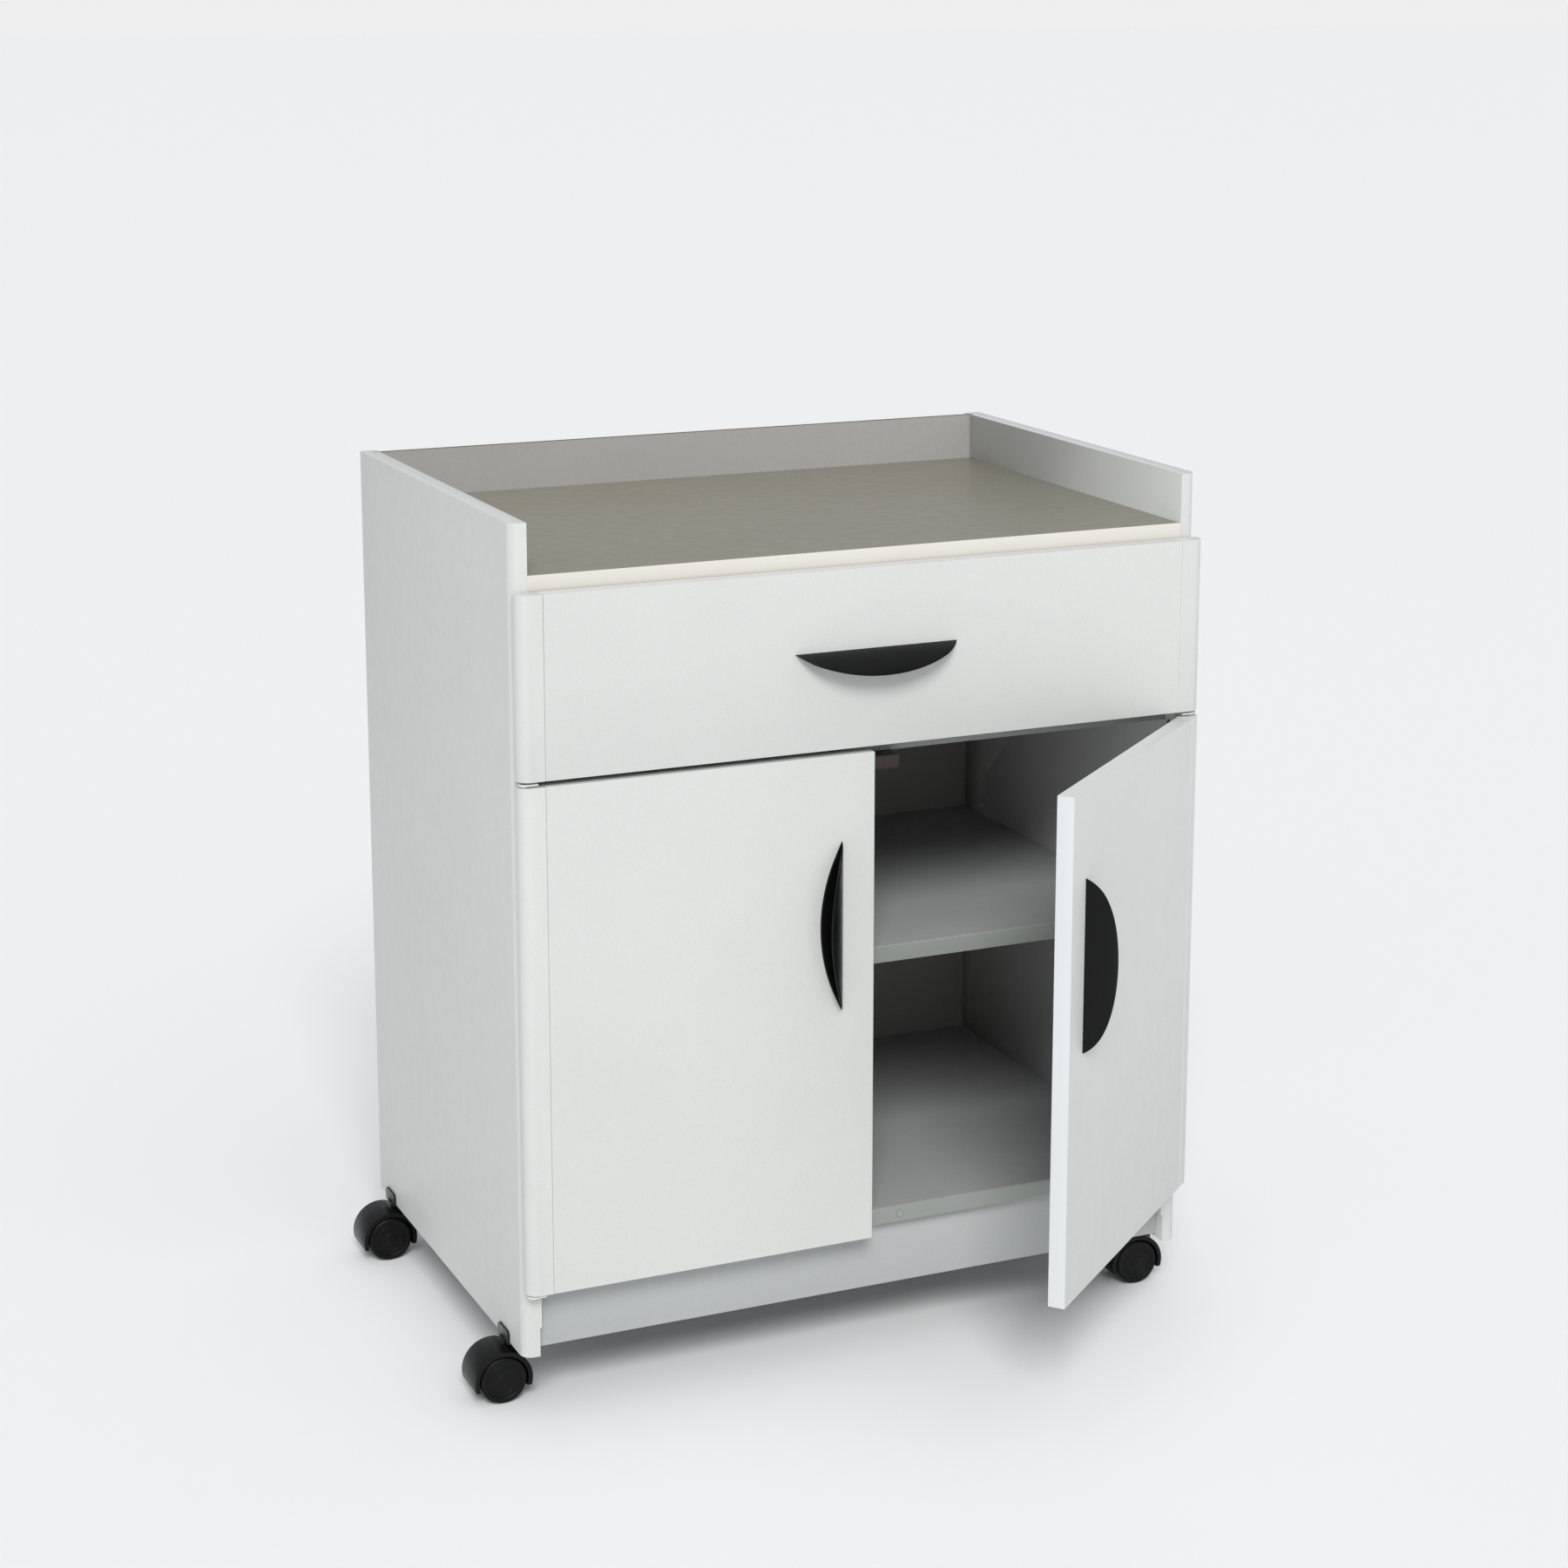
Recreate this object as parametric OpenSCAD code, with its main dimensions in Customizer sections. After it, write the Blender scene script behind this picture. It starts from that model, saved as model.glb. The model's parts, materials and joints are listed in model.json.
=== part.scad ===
// Mobile printer stand: a laminated cabinet on four twin-wheel casters, with one
// full-width drawer, two overlay doors and one adjustable shelf.
// Millimetres. The origin is on the floor under the middle of the cabinet's sides.
// The fronts face -Y, the cabinet's right side is at +X and +Z is up.

/* [Cabinet] */
// Overall width across the side panels
cabinet_w = 762; // [700:1:820]
// Depth of the side panels, without the fronts
side_d = 501; // [470:1:560]
// Height of the side panels' top above the floor
cabinet_h = 921; // [900:1:980]
// Height of the side panels' bottom above the floor
side_base_z = 63; // [63:1:70]
// Thickness of the laminated boards
board_t = 18; // [16:0.5:19]
// Height of the rim that the sides make round the deck
rim_h = 52; // [30:1:70]
// Radius of the side panels' outer front edges
side_edge_r = 12; // [6:1:14]
// How far the shelf's front edge stands back
shelf_setback = 20; // [15:1:60]
// Height of the shelf's top above the floor
shelf_z = 441; // [300:1:520]

/* [Fronts] */
// Gap between the backs of the fronts and the side panels
front_gap = 2; // [1.8:0.1:3]
// Height of the drawer front's top above the floor
drawer_top_z = 853.5; // [850:0.5:856]
// Height of the drawer front's bottom above the floor
drawer_base_z = 668.8; // [668:0.1:672]
// Height of the doors' top above the floor
door_top_z = 663; // [660:0.5:663]
// Height of the doors' bottom above the floor
door_base_z = 137; // [136:0.5:140]
// Gap where the two doors meet
meeting_gap = 3; // [2:0.5:5]
// Width of the rounded edge mouldings
moulding_w = 27; // [25:1:40]
// Radius of the mouldings' front edges
moulding_r = 12; // [8:0.5:13]
// How far the right door stands open, in degrees
right_door_open = 40.5; // [0:0.5:80]

/* [Pulls] */
// Length of a pull along its straight edge
pull_len = 180; // [120:1:200]
// Width of a pull's base plate at its middle
pull_base_w = 24.4; // [20:0.1:30]
// Width of a pull's hood at its middle
pull_hood_w = 21.5; // [18:0.1:24]
// How far a pull stands out at its middle
pull_out = 27.5; // [22:0.5:32]

/* [Casters] */
// Diameter of a caster wheel
wheel_d = 50; // [46:1:50]
// Width of one of a caster's two wheels
wheel_w = 16; // [12:0.5:18]
// Distance from a caster's swivel axis to its axle
trail = 18; // [16:0.5:20]
// Distance from the side panels' front edge to the front swivel axes
front_inset = 59; // [50:1:80]
// Distance from the side panels' rear edge to the rear swivel axes
rear_inset = 44; // [40:1:60]

/* [Hidden] */
$fn = 64;

inner_x = cabinet_w / 2 - board_t;     // inner face of a side panel
front_y = -side_d / 2;                 // front edge of the side panels
rear_y = side_d / 2;
front_back_y = front_y - front_gap;    // back of the drawer front and doors
face_y = front_back_y - board_t;       // face of the drawer front and doors
half_w = cabinet_w / 2;
deck_z = cabinet_h - rim_h;
kick_base_z = side_base_z + 5;
bottom_z = 159;                        // top of the bottom panel
kick_setback = 12;
back_t = 3.5;                          // hardboard back
back_y = rear_y - 10 - back_t;         // front face of the back
groove_d = 6;
band_t = 2;                            // deck's edge band
rail_z = 652;                          // underside of the front rail
rail_d = 80;
panel_gap = 0.5;                       // play at each end of the loose shelf

pin_d = 5;                             // shelf pins and their holes
pin_hole_depth = 10;
pin_pitch = 32;
pin_rows = [-2:2];
pin_ys = [front_y + 60, rear_y - 60];
pin_out = 8;                           // how far a pin reaches under the shelf
collar_t = 1.5;

cam_d = 15;                            // cam covers on the boards' undersides
cam_t = 1;
cam_inset = 34;                        // from the side panels to the cams
cam_slot = [8, 1.5];
cam_ys = [front_y + 120, rear_y - 60];

// Drawer box and its roller runners. u is measured inwards from a side panel.
box_gap = 12.7;                        // room for a runner at each side
box_side_t = 12;
box_side_h = 120;
box_len = 450;
box_z = 686;                           // underside of the drawer's sides
box_rear_y = front_back_y + box_len;
box_bottom_t = 3.2;
box_bottom_z = box_z + 8;
box_half = inner_x - box_gap;          // outer face of a drawer side
steel_t = 1.2;
runner_y = [front_y + 2, front_y + 452];
channel_z = [690, 716];
channel_u = 10.5;                      // reach of the channel's flanges
flange_z = 712;                        // drawer runner's running flange
flange_u = 3.5;
drawer_roller = [11.4, 703, 185];      // radius, height and place along Y
cabinet_roller = [10, 701.7, front_y + 17];
roller_u = [3, 9.5];
rivet_d = 5;
running = 0.05;                        // radial clearance of every turning fit

// Door pivots. The axis lies inside the door's edge moulding.
pivot_x = half_w - 7;
pivot_y = front_back_y - board_t / 2;
pivot_pin_d = 6;
pivot_pin_len = 11;
bush_d = 10;
bush_len = 13;
arm_t = 2;
arm_gap = 1.5;                         // from the door's edge to the arm
arm_front_gap = 0.5;                   // from the side panel's front edge to the arm
eye_d = 12;
leaf_h = 40;
upper_leaf_d = shelf_setback - 2;
lower_leaf_d = kick_setback - 1;

// Magnetic catches and their strike plates. u is measured from the cabinet's middle.
catch_u = [6, 36];
catch_h = 14;
catch_y = [front_back_y + 1.5, front_y + shelf_setback + 24];
strike_u = [8, 34];
strike_z = [rail_z - 15, rail_z - 1];
strike_t = 1;
pad_d = 7;
pad_t = front_gap - 0.3;

screw_d = 3.5;
screw_len = 12;
screw_head_d = 7;
screw_head_t = 1.2;
runner_screw_ys = [runner_y[0] + 60, 0, runner_y[1] - 40];

pull_t = 2.5;
pull_bulge = 4;
drawer_pull_z = 771;
door_pull_z = 483;
door_pull_inset = 36;                  // from a door's free edge to its pull

// Casters. The parts of one are drawn round its axle, which lies along Y.
axle_z = wheel_d / 2;
hood_r = 31;
hood_in_r = wheel_d / 2 + 1.5;
web_w = 12;
wheel_gap = 0.5;
hood_w = web_w + 2 * wheel_gap + 2 * wheel_w;
hood_drop = 9;                         // how far the hood reaches below the axle
axle_d = 6;
stem_d = 8;
boss_d = 20;
boss_top_z = 57;
stem_base_z = 32;
clip_t = 2.5;
clip_len = 32;
clip_tab_h = 12;
clip_inner_h = 27;
caster_x = half_w - board_t / 2;
front_caster_y = front_y + front_inset;
rear_caster_y = rear_y - rear_inset;
// Each caster's name, side and place along Y
CASTERS = [
    ["front_left", -1, front_caster_y],
    ["front_right", 1, front_caster_y],
    ["rear_left", -1, rear_caster_y],
    ["rear_right", 1, rear_caster_y],
];

laminate = [0.87, 0.87, 0.85];
deck_grey = [0.68, 0.66, 0.60];
edge_cream = [0.92, 0.90, 0.86];
hardboard = [0.36, 0.29, 0.22];
coated_steel = [0.85, 0.85, 0.82];
zinc = [0.72, 0.73, 0.75];
black = [0.05, 0.05, 0.05];
nylon = [0.93, 0.93, 0.90];

// ---- Helpers ----

// A box from its low corner to its high corner.
module span(low, high) {
    translate(low) cube(high - low);
}

// Children as drawn for the right side, or mirrored to the left.
module on_side(side) {
    if (side > 0) children();
    else mirror([1, 0, 0]) children();
}

// A cylinder along X from x0 to x1.
module rod_x(x0, x1, d, y, z) {
    translate([x0, y, z]) rotate([0, 90, 0]) cylinder(d = d, h = x1 - x0);
}

// A cylinder along Y from y0 to y1.
module rod_y(y0, y1, d, x, z) {
    translate([x, y0, z]) rotate([-90, 0, 0]) cylinder(d = d, h = y1 - y0);
}

// The waste of a square corner at the origin rounded to radius r.
module corner_waste(r) {
    difference() {
        square(r + 1);
        circle(r);
    }
}

// The segment of a circle on a chord of length len, w wide at its middle.
module segment(len, w) {
    r = (len * len / 4 + w * w) / (2 * w);
    intersection() {
        translate([0, w - r]) circle(r, $fn = 128);
        translate([-len / 2, 0]) square([len, w + 1]);
    }
}

// ---- Cabinet ----

// A side panel's outline seen from above, its outer front edge rounded.
module side_outline() {
    difference() {
        translate([inner_x, front_y]) square([board_t, side_d]);
        translate([half_w - side_edge_r, front_y + side_edge_r])
            mirror([0, 1]) corner_waste(side_edge_r);
    }
}

module side_panel(side) {
    color(laminate) on_side(side) difference() {
        translate([0, 0, side_base_z]) linear_extrude(cabinet_h - side_base_z) side_outline();
        span([inner_x - 1, back_y, side_base_z - 1],
             [inner_x + groove_d, back_y + back_t, cabinet_h + 1]);
        for (y = pin_ys, row = pin_rows)
            rod_x(inner_x - 1, inner_x + pin_hole_depth, pin_d, y, shelf_pin_z() + row * pin_pitch);
    }
}

function shelf_pin_z() = shelf_z - board_t - pin_d / 2;

module deck_panel() {
    color(deck_grey)
        span([-inner_x, front_y + band_t, deck_z - board_t], [inner_x, back_y, deck_z]);
}

module deck_edge_band() {
    color(edge_cream)
        span([-inner_x, front_y, deck_z - board_t], [inner_x, front_y + band_t, deck_z]);
}

module bottom_panel() {
    color(laminate)
        span([-inner_x, front_y, bottom_z - board_t], [inner_x, back_y, bottom_z]);
}

module kick_plate() {
    color(laminate)
        span([-inner_x, front_y + kick_setback, kick_base_z],
             [inner_x, front_y + kick_setback + board_t, bottom_z - board_t]);
}

module back_panel() {
    reach = inner_x + groove_d;
    color(hardboard) span([-reach, back_y, side_base_z], [reach, back_y + back_t, cabinet_h]);
}

module front_rail() {
    y0 = front_y + shelf_setback;
    color(laminate) span([-inner_x, y0, rail_z], [inner_x, y0 + rail_d, rail_z + board_t]);
}

module shelf() {
    reach = inner_x - panel_gap;
    color(laminate)
        span([-reach, front_y + shelf_setback, shelf_z - board_t], [reach, back_y - 3, shelf_z]);
}

module shelf_pins() {
    color(zinc) for (side = [-1, 1], y = pin_ys) on_side(side) {
        rod_x(inner_x - pin_out, inner_x + pin_hole_depth, pin_d, y, shelf_pin_z());
        rod_x(inner_x - collar_t, inner_x, pin_d + 2, y, shelf_pin_z() - 2);
    }
}

// Cam locks under the deck, the bottom and the front rail, beside the side panels.
module cam_fasteners() {
    color(zinc) for (side = [-1, 1]) on_side(side) {
        for (y = cam_ys, z = [deck_z - board_t, bottom_z - board_t]) cam(y, z);
        cam(front_y + shelf_setback + rail_d / 2, rail_z);
    }
}

// One cam cover under a board at height z, with its cross slot.
module cam(y, z) {
    translate([inner_x - cam_inset, y, z - cam_t]) difference() {
        cylinder(d = cam_d, h = cam_t);
        for (turn = [0, 90]) rotate(turn)
            linear_extrude(cam_t, center = true) square(cam_slot, center = true);
    }
}

// ---- Runners ----

module cabinet_runner(side) {
    x = inner_x;
    color(coated_steel) on_side(side) {
        span([x - steel_t, runner_y[0], channel_z[0]], [x, runner_y[1], channel_z[1]]);
        for (z = [channel_z[0], channel_z[1] - steel_t])
            span([x - channel_u, runner_y[0], z], [x, runner_y[1], z + steel_t]);
        rod_x(x - roller_u[1] - 0.7, x, rivet_d, cabinet_roller[2], cabinet_roller[1]);
    }
}

module drawer_runner(side) {
    x = box_half;
    color(coated_steel) on_side(side) {
        span([x, front_back_y, box_z - steel_t], [x + steel_t, box_rear_y, flange_z + steel_t]);
        span([x - box_side_t, front_back_y, box_z - steel_t], [x + steel_t, box_rear_y, box_z]);
        span([x, front_back_y, flange_z],
             [inner_x - flange_u, drawer_roller[2] - 15, flange_z + steel_t]);
        rod_x(x, inner_x - roller_u[0] + 0.7, rivet_d, drawer_roller[2], drawer_roller[1]);
    }
}

module roller(side, place) {
    x0 = inner_x - roller_u[1];
    x1 = inner_x - roller_u[0];
    color(nylon) on_side(side) difference() {
        rod_x(x0, x1, 2 * place[0], place[2], place[1]);
        rod_x(x0 - 1, x1 + 1, rivet_d + 2 * running, place[2], place[1]);
    }
}

// ---- Fronts ----

// Outline of an edge moulding from above: the joint is at x = 0, the face at y = 0.
module moulding_outline() {
    back_r = 3;
    vee = 1.2;
    difference() {
        square([moulding_w, board_t]);
        translate([moulding_w - moulding_r, moulding_r]) mirror([0, 1]) corner_waste(moulding_r);
        translate([moulding_w - back_r, board_t - back_r]) corner_waste(back_r);
        rotate(45) square(vee, center = true);
    }
}

// A moulding at the right-hand end of a front, between two heights.
module moulding(z0, z1) {
    translate([half_w - moulding_w, face_y, z0]) linear_extrude(z1 - z0) moulding_outline();
}

module drawer_front() {
    reach = half_w - moulding_w;
    color(laminate) difference() {
        span([-reach, face_y, drawer_base_z], [reach, front_back_y, drawer_top_z]);
        span([-box_half + groove_d, front_back_y - groove_d, box_bottom_z],
             [box_half - groove_d, front_back_y + 1, box_bottom_z + box_bottom_t]);
    }
}

module drawer_front_mouldings() {
    color(laminate) for (side = [-1, 1]) on_side(side) moulding(drawer_base_z, drawer_top_z);
}

module drawer_side(side) {
    color(laminate) on_side(side) difference() {
        span([box_half - box_side_t, front_back_y, box_z],
             [box_half, box_rear_y, box_z + box_side_h]);
        span([box_half - box_side_t - 1, front_back_y - 1, box_bottom_z],
             [box_half - box_side_t + groove_d, box_rear_y + 1, box_bottom_z + box_bottom_t]);
    }
}

module drawer_back() {
    reach = box_half - box_side_t;
    color(laminate) span([-reach, box_rear_y - box_side_t, box_bottom_z + box_bottom_t],
                         [reach, box_rear_y, box_z + box_side_h]);
}

module drawer_bottom() {
    reach = box_half - groove_d;
    color(laminate) span([-reach, front_back_y - groove_d, box_bottom_z],
                         [reach, box_rear_y, box_bottom_z + box_bottom_t]);
}

// Turns children from the closed door to where the door stands at rest.
module door_swing(side) {
    angle = side > 0 ? right_door_open : 0;
    translate([pivot_x, pivot_y, 0]) rotate(angle) translate([-pivot_x, -pivot_y, 0]) children();
}

module door_panel(side) {
    color(laminate) on_side(side) door_swing(side)
        span([meeting_gap / 2, face_y, door_base_z], [half_w - moulding_w, front_back_y, door_top_z]);
}

module door_moulding(side) {
    color(laminate) on_side(side) door_swing(side) difference() {
        moulding(door_base_z, door_top_z);
        for (z = [door_base_z - 1, door_top_z - bush_len])
            translate([pivot_x, pivot_y, z]) cylinder(d = bush_d, h = bush_len + 1);
    }
}

// Nylon bushes pressed into a door's top and bottom, closed at their inner ends.
module door_bushes(side) {
    floor_t = 1;
    color(nylon) on_side(side) door_swing(side) difference() {
        for (z = [door_base_z, door_top_z - bush_len])
            translate([pivot_x, pivot_y, z]) cylinder(d = bush_d, h = bush_len);
        for (z = [door_base_z - 1, door_top_z - bush_len + floor_t])
            translate([pivot_x, pivot_y, z])
                cylinder(d = pivot_pin_d + 2 * running, h = bush_len - floor_t + 1);
    }
}

module strike_plate(side) {
    color(zinc) on_side(side) door_swing(side)
        span([strike_u[0], front_back_y, strike_z[0]],
             [strike_u[1], front_back_y + strike_t, strike_z[1]]);
}

// ---- Pulls ----

// A crescent cup pull. Its straight edge lies along X through the origin, its base is
// on z = 0, its hood rises from the straight edge and its open side faces +Y.
module crescent_pull() {
    slope = sqrt(pull_hood_w * pull_hood_w + pull_out * pull_out);
    bend_r = (slope * slope / 4 + pull_bulge * pull_bulge) / (2 * pull_bulge);
    across = [pull_out, -pull_hood_w] / slope;
    centre = [pull_hood_w, pull_out] / 2 + (bend_r - pull_bulge) * across;
    linear_extrude(pull_t) segment(pull_len, pull_base_w);
    intersection() {
        linear_extrude(pull_out + 1) segment(pull_len, pull_hood_w);
        difference() {
            pull_drum(centre, bend_r);
            pull_drum(centre, bend_r - pull_t);
        }
    }
}

// A cylinder along X over a pull's length, round a centre in the Y-Z plane.
module pull_drum(centre, r) {
    translate([-pull_len / 2 - 1, centre[0], centre[1]]) rotate([0, 90, 0])
        cylinder(r = r, h = pull_len + 2, $fn = 128);
}

// Its open side faces down.
module drawer_pull() {
    color(black) translate([0, face_y, drawer_pull_z]) rotate([90, 0, 0]) mirror([0, 1, 0])
        crescent_pull();
}

// Its open side faces the door's hinges.
module door_pull(side) {
    color(black) on_side(side) door_swing(side)
        translate([meeting_gap / 2 + door_pull_inset, face_y, door_pull_z])
            rotate([90, 0, 0]) rotate(-90) crescent_pull();
}

// ---- Door hardware ----

// Steel pivot brackets: a leaf on the side panel's inner face and an arm to the pin.
module hinge_brackets() {
    color(coated_steel) for (side = [-1, 1]) on_side(side) {
        upper_z = door_top_z + arm_gap;
        hinge_bracket(upper_z, upper_leaf_d);
        lower_z = door_base_z - arm_gap - arm_t;
        hinge_bracket(lower_z, lower_leaf_d);
    }
}

// arm_z is the arm's underside and leaf_d the depth of the leaf that hangs from it.
module hinge_bracket(arm_z, leaf_d) {
    x = inner_x - arm_t;
    top_z = arm_z + arm_t;
    arm_y = front_y - arm_front_gap;
    difference() {
        union() {
            span([x, front_y, arm_z - leaf_h], [inner_x, front_y + leaf_d, top_z]);
            span([x, arm_y, arm_z], [inner_x, front_y, top_z]);
            span([x, pivot_y - eye_d / 2, arm_z], [pivot_x, arm_y, top_z]);
            translate([pivot_x, pivot_y, arm_z]) cylinder(d = eye_d, h = arm_t);
        }
        translate([pivot_x, pivot_y, arm_z - 1]) cylinder(d = pivot_pin_d, h = arm_t + 2);
    }
}

// Pins riveted into the brackets' arms, down into a door's top and up into its bottom.
module hinge_pins() {
    upper_z = door_top_z + arm_gap - pivot_pin_len;
    lower_z = door_base_z - arm_gap - arm_t;
    color(zinc) for (side = [-1, 1], z = [upper_z, lower_z]) on_side(side)
        translate([pivot_x, pivot_y, z]) cylinder(d = pivot_pin_d, h = pivot_pin_len + arm_t);
}

// Magnetic catches hang under the front rail, one behind each door's free edge.
module magnetic_catches() {
    color(black) for (side = [-1, 1]) on_side(side)
        span([catch_u[0], catch_y[0], rail_z - catch_h], [catch_u[1], catch_y[1], rail_z]);
}

// Clear pads on the cabinet's front edges that the closed fronts rest against.
module door_bumpers() {
    places = [[40, bottom_z - board_t / 2], [inner_x + 4, drawer_top_z - 20]];
    color(nylon) for (side = [-1, 1], place = places) on_side(side)
        rod_y(front_y - pad_t, front_y, pad_d, place[0], place[1]);
}

// Pan-head screws into the side panels.
module panel_screws() {
    leaf_y = front_y + lower_leaf_d / 2;
    color(zinc) for (side = [-1, 1]) on_side(side) {
        for (y = runner_screw_ys) screw_x(steel_t, y, 703);
        for (drop = [12, 28]) screw_x(arm_t, front_y + upper_leaf_d / 2, door_top_z - drop);
        for (drop = [16, 32]) screw_x(arm_t, leaf_y, door_base_z - drop);
        for (y = [front_caster_y, rear_caster_y], dy = [-8, 8])
            screw_x(clip_t, y + dy, side_base_z + clip_inner_h - 9);
    }
}

// One screw through metal of thickness t on the right side panel's inner face.
module screw_x(t, y, z) {
    rod_x(inner_x - t - screw_head_t, inner_x - t, screw_head_d, y, z);
    rod_x(inner_x - t, inner_x + screw_len, screw_d, y, z);
}

// ---- Casters ----

module at_caster(c) {
    translate([c[1] * caster_x, c[2], 0]) children();
}

// A steel clip round the side panel's lower edge, its outer tab round-cornered.
module caster_brackets() {
    color(black) for (c = CASTERS) at_caster(c) difference() {
        on_side(c[1]) {
            half = board_t / 2;
            span([-half - clip_t, -clip_len / 2, side_base_z - clip_t],
                 [half + clip_t, clip_len / 2, side_base_z]);
            translate([half, 0, 0]) clip_tab(clip_tab_h);
            translate([-half - clip_t, 0, 0]) clip_tab(clip_inner_h);
        }
        translate([0, 0, side_base_z - clip_t - 1]) cylinder(d = stem_d, h = clip_t + 2);
    }
}

// One upright tab of a clip, h above the panel's lower edge.
module clip_tab(h) {
    r = 5;
    translate([0, 0, side_base_z]) rotate([90, 0, 90]) linear_extrude(clip_t) {
        translate([-clip_len / 2, -clip_t]) square([clip_len, clip_t + h - r]);
        translate([-clip_len / 2 + r, 0]) square([clip_len - 2 * r, h]);
        for (s = [-1, 1]) translate([s * (clip_len / 2 - r), h - r]) circle(r);
    }
}

// A stem riveted into each clip, with a collar under the clip.
module caster_stems() {
    collar_z = boss_top_z + 0.3;
    color(zinc) for (c = CASTERS) at_caster(c) {
        translate([0, 0, stem_base_z]) cylinder(d = stem_d, h = side_base_z - stem_base_z);
        translate([0, 0, collar_z]) cylinder(d = 15, h = side_base_z - clip_t - collar_z);
    }
}

// A hood with its middle web and stem boss, trailing towards -X.
module hood(c) {
    color(black) at_caster(c) difference() {
        union() {
            translate([-trail, 0, axle_z]) rotate([90, 0, 0])
                linear_extrude(hood_w, center = true) hood_outline();
            translate([0, 0, axle_z + 12]) cylinder(d = boss_d, h = boss_top_z - axle_z - 12);
        }
        for (side = [-1, 1]) translate([-trail, side * (web_w + hood_w) / 2, axle_z])
            rotate([90, 0, 0]) cylinder(r = hood_in_r, h = hood_w, center = true);
        translate([0, 0, stem_base_z - 2]) cylinder(d = stem_d + 2 * running, h = boss_top_z);
        translate([-trail, 0, axle_z]) rotate([90, 0, 0])
            cylinder(d = axle_d, h = web_w + 2, center = true);
    }
}

// A disc cut off level below the axle.
module hood_outline() {
    intersection() {
        circle(hood_r, $fn = 128);
        translate([-hood_r, -hood_drop]) square([2 * hood_r, hood_r + hood_drop]);
    }
}

module axle(c) {
    reach = web_w / 2 + wheel_gap + wheel_w - 3;
    color(zinc) at_caster(c) rod_y(-reach, reach, axle_d, -trail, axle_z);
}

// One wheel with a rounded tread, a dished outer face and a blind bore.
// facing is -1 for the wheel at -Y and 1 for the wheel at +Y.
module wheel(c, facing) {
    r = wheel_d / 2;
    edge = 3;
    color(black) at_caster(c) translate([-trail, facing * (web_w / 2 + wheel_gap), axle_z])
        rotate([-90 * facing, 0, 0]) difference() {
            rotate_extrude($fn = 128) difference() {
                square([r, wheel_w]);
                translate([r - edge, wheel_w - edge]) corner_waste(edge);
                translate([0, wheel_w - 0.8]) square([r - 6, 1]);
            }
            translate([0, 0, -1]) cylinder(d = axle_d + 2 * running, h = wheel_w - 2.4 + 1);
        }
}

// ---- Assembly ----

side_panel(-1);  // left_side_panel
side_panel(1);  // right_side_panel
deck_panel();
deck_edge_band();
bottom_panel();
kick_plate();
back_panel();
front_rail();
shelf();
shelf_pins();
cam_fasteners();
cabinet_runner(-1);  // left_cabinet_runner
cabinet_runner(1);  // right_cabinet_runner
roller(-1, cabinet_roller);  // left_cabinet_roller
roller(1, cabinet_roller);  // right_cabinet_roller
drawer_runner(-1);  // left_drawer_runner
drawer_runner(1);  // right_drawer_runner
roller(-1, drawer_roller);  // left_drawer_roller
roller(1, drawer_roller);  // right_drawer_roller
drawer_front();
drawer_front_mouldings();
drawer_side(-1);  // drawer_left_side
drawer_side(1);  // drawer_right_side
drawer_back();
drawer_bottom();
drawer_pull();
door_panel(-1);  // left_door_panel
door_moulding(-1);  // left_door_moulding
door_pull(-1);  // left_door_pull
door_bushes(-1);  // left_door_bushes
strike_plate(-1);  // left_strike_plate
door_panel(1);  // right_door_panel
door_moulding(1);  // right_door_moulding
door_pull(1);  // right_door_pull
door_bushes(1);  // right_door_bushes
strike_plate(1);  // right_strike_plate
hinge_brackets();
hinge_pins();
magnetic_catches();
door_bumpers();
panel_screws();
caster_brackets();
caster_stems();
for (c = CASTERS) {
    hood(c);
    axle(c);
    wheel(c, -1);
    wheel(c, 1);
}
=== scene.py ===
"""Looks of a mobile printer stand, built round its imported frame.

Boards, runners and fittings take the frame's own shapes, with their edges eased and a
finish for each. Pulls, wheels, the back and the edge bands are surfaces worked out here.
"""
from __future__ import annotations

import json
import logging
import math
from dataclasses import dataclass
from enum import Enum

import bmesh
import bpy
import numpy as np
from mathutils import Euler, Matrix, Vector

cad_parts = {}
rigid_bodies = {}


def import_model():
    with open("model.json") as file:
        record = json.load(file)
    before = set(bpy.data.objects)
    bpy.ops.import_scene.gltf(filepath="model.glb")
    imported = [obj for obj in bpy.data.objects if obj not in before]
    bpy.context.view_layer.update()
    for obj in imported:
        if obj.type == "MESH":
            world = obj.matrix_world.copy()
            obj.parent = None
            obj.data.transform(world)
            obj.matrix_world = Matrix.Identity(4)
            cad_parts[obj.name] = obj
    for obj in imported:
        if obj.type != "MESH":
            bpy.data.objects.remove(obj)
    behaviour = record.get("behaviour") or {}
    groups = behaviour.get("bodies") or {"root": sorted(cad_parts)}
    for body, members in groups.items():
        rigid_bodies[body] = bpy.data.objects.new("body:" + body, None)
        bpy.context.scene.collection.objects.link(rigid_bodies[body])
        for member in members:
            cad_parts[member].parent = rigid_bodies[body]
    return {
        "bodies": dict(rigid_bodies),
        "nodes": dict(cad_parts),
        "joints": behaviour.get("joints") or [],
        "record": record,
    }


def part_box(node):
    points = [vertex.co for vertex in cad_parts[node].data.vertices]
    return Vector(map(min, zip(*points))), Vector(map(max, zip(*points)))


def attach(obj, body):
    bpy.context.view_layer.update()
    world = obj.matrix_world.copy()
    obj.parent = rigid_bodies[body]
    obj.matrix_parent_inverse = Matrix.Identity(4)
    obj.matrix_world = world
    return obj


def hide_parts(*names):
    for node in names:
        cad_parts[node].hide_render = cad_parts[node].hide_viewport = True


log = logging.getLogger("printer_stand")
MM = 0.001
X_AXIS, Y_AXIS, Z_AXIS = np.eye(3)
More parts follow.
